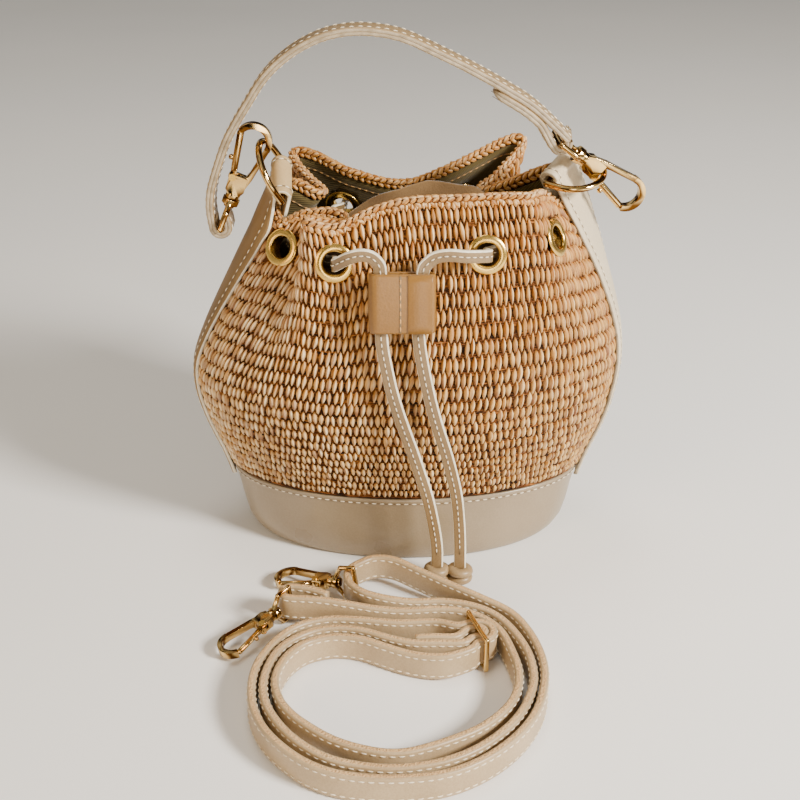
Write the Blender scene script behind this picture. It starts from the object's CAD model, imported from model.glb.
# A woven raffia bucket bag with leather base, handle, drawstring and a loose shoulder strap.
import math

import bmesh
import bpy
import numpy as np
from mathutils import Matrix, Vector


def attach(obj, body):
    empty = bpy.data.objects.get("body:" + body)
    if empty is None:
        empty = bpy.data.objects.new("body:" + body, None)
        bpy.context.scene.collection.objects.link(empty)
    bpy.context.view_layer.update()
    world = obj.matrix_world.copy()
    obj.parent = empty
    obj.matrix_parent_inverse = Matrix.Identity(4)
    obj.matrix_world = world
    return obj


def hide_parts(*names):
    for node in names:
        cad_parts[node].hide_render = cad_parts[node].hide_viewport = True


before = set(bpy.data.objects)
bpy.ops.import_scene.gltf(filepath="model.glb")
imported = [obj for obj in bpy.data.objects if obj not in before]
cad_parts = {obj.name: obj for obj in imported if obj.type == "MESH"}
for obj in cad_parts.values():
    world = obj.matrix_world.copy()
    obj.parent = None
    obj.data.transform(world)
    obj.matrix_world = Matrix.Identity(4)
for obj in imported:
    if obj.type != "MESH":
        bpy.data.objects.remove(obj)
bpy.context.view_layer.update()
mm = 0.001
noiseRng = np.random.default_rng(11)


def tint(r, g, b):
    def lin(c):
        c = c / 255
        return c / 12.92 if c <= 0.04045 else ((c + 0.055) / 1.055) ** 2.4
    return (lin(r), lin(g), lin(b), 1.0)


class Val:  # a node's output, so that shader values can be added and multiplied
    def __init__(self, look, socket):
        self.look = look
        self.socket = socket

    def maths(self, kind, a, b=0.0):
        return self.look.node("ShaderNodeMath", {"operation": kind}, [a, b])

    def __add__(self, other):
        return self.maths("ADD", self, other)

    def __radd__(self, other):
        return self.maths("ADD", other, self)

    def __sub__(self, other):
        return self.maths("SUBTRACT", self, other)

    def __rsub__(self, other):
        return self.maths("SUBTRACT", other, self)

    def __mul__(self, other):
        return self.maths("MULTIPLY", self, other)

    def __rmul__(self, other):
        return self.maths("MULTIPLY", other, self)


class Look:
    def __init__(self, name, **fixed):
        self.mat = bpy.data.materials.new(name)
        self.mat.use_nodes = True
        self.tree = self.mat.node_tree
        self.tree.nodes.clear()
        out = self.tree.nodes.new("ShaderNodeOutputMaterial")
        self.skin = self.tree.nodes.new("ShaderNodeBsdfPrincipled")
        self.tree.links.new(self.skin.outputs[0], out.inputs[0])
        for key, value in fixed.items():
            self.skin.inputs[key.replace("_", " ")].default_value = value

    def put(self, socket, value):
        if isinstance(value, Val):
            self.tree.links.new(value.socket, socket)
        else:
            socket.default_value = value

    def node(self, kind, settings=None, inputs=None, out=0):
        made = self.tree.nodes.new(kind)
        for key, value in (settings or {}).items():
            if key == "stops":
                ramp = made.color_ramp
                while len(ramp.elements) < len(value):
                    ramp.elements.new(0.5)
                for element, (place, colour) in zip(ramp.elements, value):
                    element.position = place
                    element.color = colour
            else:
                setattr(made, key, value)
        pairs = inputs.items() if isinstance(inputs, dict) else enumerate(inputs or [])
        for key, value in pairs:
            self.put(made.inputs[key], value)
        return Val(self, made.outputs[out])

    def place(self, scale=(1, 1, 1)):
        where = self.node("ShaderNodeTexCoord", out=3)  # object coordinates
        return self.node("ShaderNodeMapping", {}, {0: where, "Scale": scale})

    def uv(self, scale=(1, 1, 1), turn=0.0):
        where = self.node("ShaderNodeUVMap")
        return self.node("ShaderNodeMapping", {}, {0: where, "Rotation": (0, 0, turn), "Scale": scale})

    def attribute(self, name):
        return self.node("ShaderNodeAttribute", {"attribute_name": name}, out=2)

    def height(self):
        return self.node("ShaderNodeSeparateXYZ", {}, [self.place()], out=2)

    def noise(self, where, scale, detail=3.0, rough=0.5):
        return self.node("ShaderNodeTexNoise", {}, {
            "Vector": where, "Scale": scale, "Detail": detail, "Roughness": rough})

    def cells(self, where, scale):
        return self.node("ShaderNodeTexVoronoi", {}, {"Vector": where, "Scale": scale})

    def ramp(self, value, stops):
        return self.node("ShaderNodeValToRGB", {"stops": stops}, [value])

    def mix(self, factor, a, b, blend="MIX"):
        made = self.tree.nodes.new("ShaderNodeMix")
        made.data_type = "RGBA"
        made.blend_type = blend
        for socket, value in ((0, factor), (6, a), (7, b)):  # the colour sockets of the node
            self.put(made.inputs[socket], value)
        return Val(self, made.outputs[2])

    def bump(self, height, depth):
        return self.node("ShaderNodeBump", {}, {"Height": height, "Distance": depth, "Strength": 1.0})

    def wear(self, colour, rough, normal=None):
        self.put(self.skin.inputs["Base Color"], colour)
        self.put(self.skin.inputs["Roughness"], rough)
        if normal is not None:
            self.put(self.skin.inputs["Normal"], normal)
        return self.mat


leather = {  # light and dark tone of each leather
    "taupe": (tint(160, 135, 98), tint(136, 110, 74)),
    "lace": (tint(138, 114, 80), tint(118, 94, 62)),
    "band": (tint(148, 132, 108), tint(131, 114, 90)),
    "cream": (tint(214, 200, 172), tint(192, 176, 146)),
    "leftStrap": (tint(198, 172, 128), tint(178, 150, 106)),
    "leftLow": (tint(142, 116, 80), tint(120, 95, 62)),
    "strap": (tint(182, 159, 125), tint(156, 132, 98)),
    "slider": (tint(138, 98, 42), tint(116, 80, 32)),
    "groove": (tint(122, 102, 74), tint(96, 78, 54)),
    "rawEdge": (tint(236, 230, 212), tint(212, 202, 178)),
    "cutEdge": (tint(216, 180, 132), tint(186, 148, 102)),
    "greyEdge": (tint(172, 158, 134), tint(138, 124, 102)),
    "grain": 950,
}


black, white = (0, 0, 0, 1), (1, 1, 1, 1)


def leatherLook(name, key, rough=0.42, grain=0.00008, lower=None, turn=0.18, shine=0.5):
    # lower names another tone for the part below the height turn
    look = Look(name, Specular_IOR_Level=shine, Coat_Weight=0.32 * shine, Coat_Roughness=0.28)
    light, dark = leather[key]
    where = look.place()
    blot = look.noise(where, 26, 4)
    pores = look.cells(where, leather["grain"])
    fine = look.noise(where, 2300, 2)
    tone = look.ramp(blot * 0.8 + pores * 0.2, [(0.26, dark), (0.66, light)])
    if lower:
        rise = look.node("ShaderNodeMapRange", {}, {
            "Value": look.height(), "From Min": turn, "From Max": turn + 0.008})
        tone = look.mix(rise, look.ramp(blot, [(0.3, leather[lower][1]), (0.62, leather[lower][0])]), tone)
    height = pores * 0.6 + fine * 0.4
    return look.wear(tone, rough + 0.12 * blot - 0.05, look.bump(height, grain))


def edgeLook(name, key):
    look = Look(name, Specular_IOR_Level=0.3)
    light, dark = leather[key]
    streak = look.noise(look.place(), 260, 3)
    tone = look.ramp(streak, [(0.3, dark), (0.62, light)])
    return look.wear(tone, 0.45 + 0.12 * streak, look.bump(streak, 0.00005))


def metalLook(name, light, dark, rough, brushed=0.0, facing=False):
    look = Look(name, Metallic=1.0)
    smear = look.noise(look.place(), 160, 4)
    scratch = look.noise(look.place((1, 1, 9)), 700, 3)
    tone = look.mix(smear, dark, light)
    if facing:
        dusky = look.ramp(look.attribute("metalShade"), [(0.55, black), (0.9, white)])
        tone = look.mix(dusky, tone, tint(96, 60, 22))
    lines = look.bump(scratch, 0.00002 + brushed * 0.0001)
    return look.wear(tone, rough + 0.10 * smear + brushed * scratch, lines)


def raffiaLook():
    # orange towards the top of each leaf, pinkish below, with pale streaks along it
    look = Look("raffiaStraw", Specular_IOR_Level=0.35, Coat_Weight=0.05, Coat_Roughness=0.3)
    tone, tip, ridge = (look.attribute(name) for name in ("leafTone", "leafTip", "leafRidge"))
    streak = look.noise(look.uv((1.0, 0.10, 1)), 1.25, 2, 0.55)
    fine = look.noise(look.uv((1.0, 0.10, 1)), 3.2, 2, 0.6)
    patch = look.noise(look.place(), 16, 2)
    lift = 0.16
    rise = look.node("ShaderNodeMapRange", {}, {
        "Value": look.height(), "From Min": 0.05, "From Max": 0.17, "To Min": -lift, "To Max": lift})
    warm = look.ramp(tone + rise + patch * 0.3 - 0.15, [
        (0.05, tint(158, 114, 78)), (0.26, tint(206, 164, 122)), (0.46, tint(224, 180, 114)),
        (0.64, tint(230, 170, 62)), (0.88, tint(222, 148, 18))])
    contrast = look.ramp(streak, [(0.42, black), (0.60, white)])
    darker = look.mix(0.52, warm, tint(108, 58, 20))
    paler = look.mix(0.66, warm, tint(255, 222, 146))
    streaked = look.mix(contrast * 0.85, darker, paler)
    shaded = look.mix(fine * 0.6, streaked, tint(176, 124, 70), "MULTIPLY")
    shaded = look.mix((rise + lift) * 1.5, shaded, tint(228, 192, 142), "MULTIPLY")
    ridged = look.mix(ridge * (0.4 + 0.6 * contrast), shaded, tint(255, 240, 204))
    deep = look.mix(tip, ridged, tint(80, 42, 12))
    return look.wear(deep, 0.36 + 0.3 * fine, look.bump(streak * 0.6 + fine * 0.4, 0.0007))


def underLook():
    look = Look("raffiaCore", Specular_IOR_Level=0.2)
    stripe = look.noise(look.place((0.15, 0.15, 1)), 900, 3)
    tone = look.ramp(stripe, [(0.36, tint(34, 18, 6)), (0.58, tint(108, 62, 24)), (0.76, tint(176, 116, 56))])
    return look.wear(tone, 0.8, look.bump(stripe, 0.0004))


def twillLook():
    look = Look("twillLining", Specular_IOR_Level=0.2, Sheen_Weight=0.15)
    wave = look.node("ShaderNodeTexWave", {"bands_direction": "X"}, {
        "Vector": look.uv(turn=math.radians(55)), "Scale": 330.0, "Distortion": 0.6}, out=1)
    blot = look.noise(look.place(), 40, 3)
    tone = look.mix(wave * 0.6 + blot * 0.25, tint(58, 48, 22), tint(112, 96, 56))
    return look.wear(tone, 0.8, look.bump(wave, 0.00018))


def suedeLook():
    look = Look("suedePouch", Specular_IOR_Level=0.15, Sheen_Weight=0.3)
    nap = look.noise(look.place(), 1500, 3)
    drift = look.noise(look.place(), 45, 3)
    tone = look.ramp(nap * 0.3 + drift * 0.7, [(0.3, tint(78, 56, 32)), (0.66, tint(122, 96, 64))])
    return look.wear(tone, 0.9, look.bump(nap, 0.0002))


def threadLook(name, light, dark):
    look = Look(name, Specular_IOR_Level=0.35)
    twist = look.noise(look.place(), 2600, 2)
    tone = look.ramp(twist, [(0.3, dark), (0.6, light)])
    return look.wear(tone, 0.6, look.bump(twist, 0.0001))


def boardLook():
    look = Look("stiffBoard")
    speck = look.noise(look.place(), 700, 3)
    return look.wear(look.ramp(speck, [(0.3, tint(60, 55, 50)), (0.7, tint(86, 80, 72))]), 0.85)


taupe = leatherLook("taupeLeather", "taupe")
bandSkin = leatherLook("bandLeather", "band", 0.28, 0.00005)
cream = leatherLook("creamLeather", "cream", 0.40)
strapSkin = leatherLook("strapLeather", "strap", 0.40)
leftStrapSkin = leatherLook("leftStrapLeather", "leftStrap", 0.5, lower="leftLow", turn=0.184, shine=0.12)
laceSkin = leatherLook("laceLeather", "lace", 0.34)
sliderSkin = leatherLook("sliderLeather", "slider", 0.34)
grooveSkin = leatherLook("stitchGroove", "groove", 0.6)
rawEdge = edgeLook("rawEdge", "rawEdge")
cutEdge = leatherLook("pebbledStrapEdge", "cutEdge", 0.5, 0.0009, shine=0.25)
greyEdge = edgeLook("paintedEdge", "greyEdge")
gold = metalLook("paleGold", tint(238, 208, 144), tint(208, 166, 96), 0.04, facing=True)
brass = metalLook("brushedBrass", tint(240, 204, 118), tint(206, 162, 74), 0.14, 0.08)
steel = metalLook("springSteel", tint(210, 212, 214), tint(170, 172, 176), 0.25)
straw = raffiaLook()
core = underLook()
twill = twillLook()
suede = suedeLook()
thread = threadLook("creamThread", tint(240, 230, 208), tint(206, 190, 160))
tanThread = threadLook("tanThread", tint(206, 160, 100), tint(150, 104, 54))
board = boardLook()
print("looks ready")


stage = {
    "eye": (-0.003, -0.608, 0.381), "down": 27.0, "lens": 57.8, "sensor": 36, "near": 0.01,
    "floorHalf": 4, "floorDrop": 0.0004,
    "floorDark": (0.86, 0.86, 0.86, 1), "floorLight": (0.89, 0.89, 0.89, 1),
    "lamps": [  # name, place, aim, size, watts and colour
        ("keyLight", (1.0, -0.7, 0.80), (0, 0, 0.11), 0.30, 45, (1, 0.93, 0.83)),
        ("warmLight", (-0.8, -0.8, 0.45), (0, 0, 0.12), 0.5, 4.4, (1, 0.68, 0.34)),
        ("topLight", (-0.1, 0.25, 1.3), (0, 0, 0.15), 0.45, 4.5, (1, 0.94, 0.85)),
        ("lowLight", (0.1, -1.3, 0.30), (0, 0, 0.06), 0.4, 4.0, (1, 0.90, 0.76))],
    "roomPatch": 2.3, "roomDark": (0.03, 0.018, 0.008, 1), "roomLight": (1.75, 1.64, 1.44, 1),
    "roomPower": 0.35, "backdrop": (0.62, 0.61, 0.59, 1),
}


def makeStage():
    camera = bpy.data.objects.new("camera", bpy.data.cameras.new("camera"))
    camera.data.lens = stage["lens"]
    camera.data.sensor_width = stage["sensor"]
    camera.data.clip_start = stage["near"]
    camera.location = stage["eye"]
    camera.rotation_euler = (math.radians(90 - stage["down"]), 0, 0)
    bpy.context.collection.objects.link(camera)
    bpy.context.scene.camera = camera

    bm = bmesh.new()
    under = Matrix.Translation((0, 0, -stage["floorDrop"]))
    bmesh.ops.create_grid(bm, x_segments=2, y_segments=2, size=stage["floorHalf"], matrix=under)
    floor = finishMesh("floorSheet", bm, [])
    floorLook = Look("paleFloor", Specular_IOR_Level=0.2)
    blot = floorLook.noise(floorLook.place(), 3, 2)
    floorLook.wear(floorLook.ramp(blot, [(0.3, stage["floorDark"]), (0.7, stage["floorLight"])]), 0.7)
    floor.data.materials.append(floorLook.mat)

    for name, place, aim, size, power, colour in stage["lamps"]:
        lamp = bpy.data.objects.new(name, bpy.data.lights.new(name, "AREA"))
        lamp.data.size = size
        lamp.data.energy = power
        lamp.data.color = colour
        lamp.location = place
        lamp.rotation_euler = (Vector(aim) - Vector(place)).to_track_quat("-Z", "Y").to_euler()
        bpy.context.collection.objects.link(lamp)
    world = bpy.data.worlds.new("softRoom")
    bpy.context.scene.world = world
    world.use_nodes = True
    nodes = world.node_tree.nodes
    links = world.node_tree.links
    back = nodes["Background"]
    where = nodes.new("ShaderNodeTexCoord")
    part = nodes.new("ShaderNodeTexNoise")
    part.inputs["Scale"].default_value = stage["roomPatch"]
    part.inputs["Detail"].default_value = 1.0
    ramp = nodes.new("ShaderNodeValToRGB")
    tones = (stage["roomDark"], stage["roomLight"])
    for element, spot, colour in zip(ramp.color_ramp.elements, (0.45, 0.58), tones):
        element.position = spot
        element.color = colour
    links.new(where.outputs[0], part.inputs["Vector"])
    links.new(part.outputs[0], ramp.inputs[0])
    links.new(ramp.outputs[0], back.inputs[0])
    back.inputs[1].default_value = stage["roomPower"]
    # the camera itself sees a plain pale wall
    plain = nodes.new("ShaderNodeBackground")
    plain.inputs[0].default_value = stage["backdrop"]
    seen = nodes.new("ShaderNodeLightPath")
    both = nodes.new("ShaderNodeMixShader")
    links.new(seen.outputs["Is Camera Ray"], both.inputs[0])
    links.new(back.outputs[0], both.inputs[1])
    links.new(plain.outputs[0], both.inputs[2])
    links.new(both.outputs[0], nodes["World Output"].inputs[0])


def finishMesh(name, bm, mats):
    mesh = bpy.data.meshes.new(name)
    bm.to_mesh(mesh)
    bm.free()
    mesh.polygons.foreach_set("use_smooth", [True] * len(mesh.polygons))
    obj = bpy.data.objects.new(name, mesh)
    bpy.context.collection.objects.link(obj)
    for mat in mats:
        mesh.materials.append(mat)
    return obj


def loft(name, rings, mats, body="bag", wrap=False, matOf=None, drop=None, bm=None):
    # rings[j][i] are points in mm; each ring is closed, and wrap closes the row of rings too;
    # matOf gives a face's material slot, drop says which faces go, and a given bm takes the faces in
    rings = np.asarray(rings, float) * mm
    rows, cols = rings.shape[:2]
    own = bm is None
    if own:
        bm = bmesh.new()
    down = rows if wrap else rows - 1
    made = bmesh.ops.create_grid(bm, x_segments=cols, y_segments=down, size=1)["verts"]
    spots = {vert: (round((vert.co.x + 1) / 2 * cols), round((vert.co.y + 1) / 2 * down)) for vert in made}
    layer = bm.loops.layers.uv.verify()
    closed = rings[:, list(range(cols)) + [0]]
    width = np.linalg.norm(np.diff(closed, axis=1), axis=2).cumsum(axis=1).mean(axis=0)
    width = np.concatenate([[0], width])
    run = np.concatenate([[0], np.linalg.norm(np.diff(rings, axis=0), axis=2).mean(axis=1).cumsum()])
    run = np.append(run, run[-1] + 0.002)
    faces = list({face for vert in made for face in vert.link_faces})
    for face in faces:
        i0 = min(spots[v][0] for v in face.verts)
        j0 = min(spots[v][1] for v in face.verts)
        if matOf:
            face.material_index = matOf(i0, j0)
        for loop in face.loops:
            i, j = spots[loop.vert]
            loop[layer].uv = (width[i], run[j])
    for vert in made:
        i, j = spots[vert]
        vert.co = rings[j % rows, i % cols]
    if drop:
        gone = [f for f in faces if drop(f.calc_center_median())]
        bmesh.ops.delete(bm, geom=gone, context="FACES")
        made = [v for v in made if v.is_valid]
    bmesh.ops.remove_doubles(bm, verts=made, dist=0.000001)
    if not wrap:
        bmesh.ops.holes_fill(bm, edges=[e for e in bm.edges if e.is_boundary], sides=0)
    bmesh.ops.recalc_face_normals(bm, faces=bm.faces)
    if not own:
        return None
    obj = finishMesh(name, bm, mats)
    if body:
        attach(obj, body)
    return obj


def repeat(name, shape, spots, mats, body="bag", values=None, uvs=None):
    # one small shape repeated, its points placed by spots (count, points, 3) in mm
    count = len(spots)
    bm = bmesh.new()
    for _ in range(count):
        bm.from_mesh(shape)
    obj = finishMesh(name, bm, mats)
    mesh = obj.data
    mesh.vertices.foreach_set("co", (np.asarray(spots) * mm).ravel())
    for key, numbers in (values or {}).items():
        layer = mesh.attributes.new(key, "FLOAT", "POINT")
        layer.data.foreach_set("value", np.asarray(numbers, dtype=np.float32).ravel())
    if uvs is not None:
        layer = mesh.uv_layers.new(name="UVMap")
        corner = np.empty(len(mesh.loops), dtype=np.int32)
        mesh.loops.foreach_get("vertex_index", corner)
        layer.data.foreach_set("uv", np.asarray(uvs).reshape(-1, 2)[corner].ravel())
    mesh.update()
    if body:
        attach(obj, body)
    return obj


def smallMesh(name, make, **shape):
    bm = bmesh.new()
    make(bm, **shape)
    mesh = bpy.data.meshes.new(name)
    bm.to_mesh(mesh)
    bm.free()
    return mesh, np.array([v.co[:] for v in mesh.vertices])


def unit(v):
    v = np.asarray(v, float)
    return v / np.linalg.norm(v, axis=-1, keepdims=True)


def cubic(s, a, slopeA, b, slopeB):
    # from a to b at share s, with the given slopes at both ends
    return ((2 * s**3 - 3 * s * s + 1) * a + (s**3 - 2 * s * s + s) * slopeA
            + (3 * s * s - 2 * s**3) * b + (s**3 - s * s) * slopeB)


def spline(points, steps):
    # a smooth line through the points, with steps pieces between each two
    p = np.asarray(points, float)
    out = []
    for i in range(len(p) - 1):
        a, b, c, d = p[max(i - 1, 0)], p[i], p[i + 1], p[min(i + 2, len(p) - 1)]
        out += [cubic(j / steps, b, (c - a) / 2, c, (d - b) / 2) for j in range(steps)]
    out.append(p[-1])
    return np.array(out)


def frames(path, side):
    # directions along the path, across it towards side, and out of its face
    path = np.asarray(path, float)
    along = unit(np.vstack([path[1] - path[0], path[2:] - path[:-2], path[-1] - path[-2]]))
    side = np.broadcast_to(np.asarray(side, float), path.shape)
    side = unit(side - along * (side * along).sum(1, keepdims=True))
    return along, side, np.cross(along, side)


def roundBar(w, t, r, n=3):
    # outline of a flat bar with rounded corners, counter-clockwise in (side, normal)
    out = []
    for cx, cy, a0 in [(-1, -1, 180), (1, -1, 270), (1, 1, 0), (-1, 1, 90)]:
        for k in range(n):
            a = math.radians(a0 + 90 * k / (n - 1))
            out.append((cx * (w / 2 - r) + r * math.cos(a), cy * (t / 2 - r) + r * math.sin(a)))
    return np.array(out)


def sweep(path, side, outline):
    _, across, up = frames(path, side)
    across, up = across[:, None, :], up[:, None, :]
    return path[:, None, :] + across * outline[None, :, :1] + up * outline[None, :, 1:]


dash, dashPoints = smallMesh("dash", bmesh.ops.create_uvsphere, u_segments=6, v_segments=5, radius=1)


def stitches(name, path, face, mat, body="bag", pitch=4.0, length=3.0, thick=0.34, sink=0.12, groove=True):
    # a row of short threads along path, on the side that face points to, over a darker groove
    path = np.asarray(path, float)
    face = np.broadcast_to(np.asarray(face, float), path.shape)
    run = np.concatenate([[0], np.linalg.norm(np.diff(path, axis=0), axis=1).cumsum()])
    if groove:
        side = np.cross(frames(path, face)[0], face)
        rings = sweep(path + face * 0.02, side, roundBar(thick * 2.4, 0.16, 0.05))
        line = loft(name + "Groove", rings, [grooveSkin], body)
    spots = []
    for s in np.arange(pitch / 2, run[-1] - pitch / 2, pitch):
        mid, a, b, n = ([np.interp(q, run, col[:, k]) for k in range(3)] for q, col in (
            (s, path), (s - 0.6, path), (s + 0.6, path), (s, face)))
        mid, a, b, n = map(np.array, (mid, a, b, n))
        along = unit(b - a)
        n = unit(n - along * (n @ along))
        wide = np.cross(n, along)
        p = dashPoints
        bend = -sink * 2.2 * p[:, 2:3] ** 2
        spots.append(mid + along * p[:, 2:3] * length / 2 + wide * p[:, :1] * thick * 1.15
                     + n * (p[:, 1:2] * thick + sink + bend))
    return repeat(name, dash, spots, [mat], body)


# the gathered body: half axes by height, and the rim by bearing as x, y and lift
bag = {
    "profile": [(0, 80, 43.5), (5, 85, 45.2), (14, 88, 46.2), (38, 93, 47.5), (70, 104.5, 55.47),
                (108, 110, 61), (150, 110, 62), (205, 110, 62)],
    "rim": [(0, 76, 0, 2.5), (7, 79.5, 6.5, 4.5), (13, 81, 13, 6), (20, 76, 18, 5.5), (27, 66, 19, 2),
            (35, 51, 17, -3.5), (41, 40, 18, -8), (46, 39, 22, -8), (51, 46, 28, -4.5), (57, 55, 35, 2.5),
            (62, 61.5, 41, 8.5), (67, 60.5, 46.5, 11), (72, 52, 47.5, 10), (80, 25, 39.5, -1),
            (90, 0, 33, -8.5), (105, -28, 34.5, -3), (116, -46, 41, 4), (122, -55, 43.5, 5.5),
            (128, -59.5, 39, 4.5), (133, -57, 32, 1.5), (139, -50, 23, -3.5), (146, -42.5, 14.5, -7.5),
            (150, -44, 11, -7), (155, -50, 11, -3), (161, -57, 13, 0), (167, -62, 11, 1.5),
            (173, -63, 5.5, -0.5), (180, -61.5, 0, -3), (188, -60.5, -8, -6.5), (195, -57, -13.5, -9),
            (204, -48, -17.5, -8.5), (213, -37, -21, -6.5), (219, -30.5, -24.5, -7.5),
            (223, -31, -29, -8.5), (229, -39, -30.5, -7.5), (234, -46, -33.5, -5.5),
            (239, -48.5, -38, -4.5), (244, -44, -41.5, -6), (251, -32, -40.5, -7.5), (259, -16, -37, -1),
            (270, 0, -36.5, 3.5), (289, 27, -37, 5), (305, 46, -38.5, 6.5), (312, 55, -38.5, 6.5),
            (318, 60, -34, 5.5), (324, 61.5, -28, 4.5), (333, 64.5, -19.5, 2), (346, 70.5, -9, 0)],
    "rimZ": 190, "bandH": 38,
}


def hermite(table, x, loop=0):
    tab = np.asarray(table, float)
    if loop:
        tab = np.vstack([tab[-2:] - [loop, 0, 0, 0], tab, tab[:3] + [loop, 0, 0, 0]])
        x = np.mod(x, loop)
    else:
        tab = np.vstack([tab[:1], tab, tab[-1:]])
    low, high = 1, len(tab) - 3
    at = tab[:, 0]
    i = np.clip(np.searchsorted(at, x, side="right") - 1, low, high)
    h = at[i + 1] - at[i]
    s = ((x - at[i]) / h)[:, None]
    p = tab[:, 1:]
    m0 = (p[i + 1] - p[i - 1]) / (at[i + 1] - at[i - 1])[:, None] * h[:, None]
    m1 = (p[i + 2] - p[i]) / (at[i + 2] - at[i])[:, None] * h[:, None]
    return cubic(s, p[i], m0, p[i + 1], m1)


def ramp(a, b, x):
    s = np.clip((np.asarray(x, float) - a) / (b - a), 0, 1)
    return s * s * (3 - 2 * s)


def skin(t, h):
    # outer surface at bearing t and height h, both arrays
    t = np.mod(np.asarray(t, float), 360)
    dip = 6 * (1 - ramp(13, 24, abs(t - 180))) + 6 * (1 - ramp(13, 24, np.minimum(t, 360 - t)))
    z = h - dip * ramp(145, bag["rimZ"], h)
    ab = hermite(bag["profile"], z)
    r = hermite(bag["rim"], t, 360)
    c, s = np.cos(np.radians(t)), np.sin(np.radians(t))
    k = np.clip((z - 92) / (bag["rimZ"] - 92), 0, 1)
    wm, wp = k ** (1.5 + 0.3 * c), k ** 1.9
    x, y = ab[:, 0] * c, ab[:, 1] * s
    mx, my = 7 + 68 * c, 3 + 42 * s
    return np.stack([x + (mx - x) * wm + (r[:, 0] - mx) * wp, y + (my - y) * wm + (r[:, 1] - my) * wp,
                     z + r[:, 2] * ramp(60, bag["rimZ"], z)], axis=1)


def wall(t, h, inset=0.0):
    t = np.atleast_1d(np.asarray(t, float))
    h = np.broadcast_to(np.asarray(h, float), t.shape)
    a, b, c = skin(t - 1, h), skin(t, h), skin(t + 1, h)
    n = np.stack([c[:, 1] - a[:, 1], a[:, 0] - c[:, 0]], axis=1)
    n = n / np.linalg.norm(n, axis=1, keepdims=True)
    b[:, :2] -= n * np.broadcast_to(np.asarray(inset, float), t.shape)[:, None]
    return b


def wallNormal(t, h):
    t = np.atleast_1d(np.asarray(t, float))
    h = np.broadcast_to(np.asarray(h, float), t.shape)
    return unit(np.cross(skin(t + 0.7, h) - skin(t - 0.7, h), skin(t, h + 1) - skin(t, h - 1)))


eyelets = [(250, 173), (294, 165), (204, 172), (324, 169), (108, 168), (78, 168)]


def eyeletFrame(spot):
    t, h = spot
    mid = wall(t, h)[0]
    out = unit(np.cross(wall(t + 3, h)[0] - wall(t - 3, h)[0], wall(t, h + 4)[0] - wall(t, h - 4)[0]))
    return mid, out


eyeletFrames = [eyeletFrame(e) for e in eyelets]


def nearEyelet(p, radius, depth=9.0):
    p = np.asarray(p, float)
    for mid, out in eyeletFrames:
        d = p - mid
        off = d @ out
        if abs(off) < depth and np.linalg.norm(d - out * off) < radius:
            return True
    return False


def pin(i, d):
    return eyeletFrames[i][0] + eyeletFrames[i][1] * d


makeStage()


# the drawstring: two free tails and the laced loop, each point with its side direction
lace = {"width": 6.0, "thick": 2.2, "round": 0.55, "rawEdge": 0.75, "tail": -66.0,
        "face": 1.12, "pitch": 3.3, "dash": 2.5, "thread": 0.30}
fx, fz = (1, 0, 0), (0, 0, 1)
tl = lace["tail"]
leftRun = [(15.7, tl, 8), (15.6, tl, 22), (13.6, tl, 36), (10.6, tl, 51), (7.2, tl, 63), (3.6, tl, 75),
           (0, tl, 86), (-3.5, tl, 97), (-6.6, -65.5, 108), (-9, -64.5, 119), (-11, -63.4, 130),
           (-11.7, -62.3, 138.5)]
rightRun = [(5.5, -62.3, 138.5), (6.4, -63.4, 130), (8.3, -64.5, 119), (10.6, -65.5, 108), (13.2, tl, 97),
            (16.3, tl, 86), (19.6, tl, 75), (22.6, tl, 63), (25, tl, 51), (26.5, tl, 36), (27.2, tl, 22),
            (27.4, tl, 7.5)]
loopStart = [((-11.7, -62.3, 138.5), fx), ((-12, -60, 152), fx), ((-12, -57.6, 166), fx),
             ((-13, -56.8, 170), (0.9, 0, 0.4)), ((-16.5, -56.8, 173.4), (0.6, 0, 0.8))]
loopRound = [(-21.5, -57, 174.2), (-27, -56, 172.2), pin(0, 7.5), pin(0, 2), pin(0, -5), (-36, -31, 161),
             (-39, -22.5, 158.5), (-47, -12.5, 158), (-55, -6, 158.5), (-58.5, 0, 159), (-56, 5.5, 159.5),
             (-49, 9, 160), (-42.5, 16.5, 161), (-40.5, 25.5, 163), (-37.5, 33, 165), pin(4, -6), pin(4, 0),
             pin(4, 4.5), (-24, 50.5, 167), (-12, 50, 166), (0, 50, 165.5), (12, 51.5, 167),
             pin(5, 4.5) - (3, 0, 0), pin(5, 0), pin(5, -6), (36.5, 33, 165), (40, 25, 162), (45, 16, 160),
             (55, 8.5, 160), (66, 5, 161), (72, 1, 161.5), (72.5, -5, 162), (67, -13, 163), (60, -20.5, 164),
             (53, -27.5, 165.5), (46, -34, 168), pin(1, -5), pin(1, 2), pin(1, 7.5), (28, -57, 173.5),
             (20, -57.5, 174.3)]
loopEnd = [((13.5, -57, 173.2), (-0.6, 0, 0.8)), ((9.4, -56.8, 170), (-0.9, 0, 0.4)),
           ((7.4, -57.6, 166), (-1, 0, 0)), ((6.4, -60, 152), (-1, 0, 0)),
           ((5.5, -62.3, 138.5), (-1, 0, 0))]
loopRun = loopStart + [(p, fz) for p in loopRound] + loopEnd


def edgeMats(outline):
    # material 1 where the outline lies on a short edge
    half = np.abs(outline[:, 0]).max()
    mid = (outline[:, 0] + np.roll(outline[:, 0], -1)) / 2
    return lambda i, j: 1 if abs(mid[i % len(mid)]) > half - 0.12 else 0


knot = {
    "turns": [(-2.2, 0.24, 0.0), (2.1, -0.28, 0.2)],  # lift, tilt and extra radius of each turn
    "radius": (3.7, 3.3), "rope": (2.8, 2.35), "core": (3.4, 3.0),
    "coreRows": [(-3.6, 0.8), (-3.4, 1), (2.6, 1), (3.0, 0.8)],
}


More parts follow.
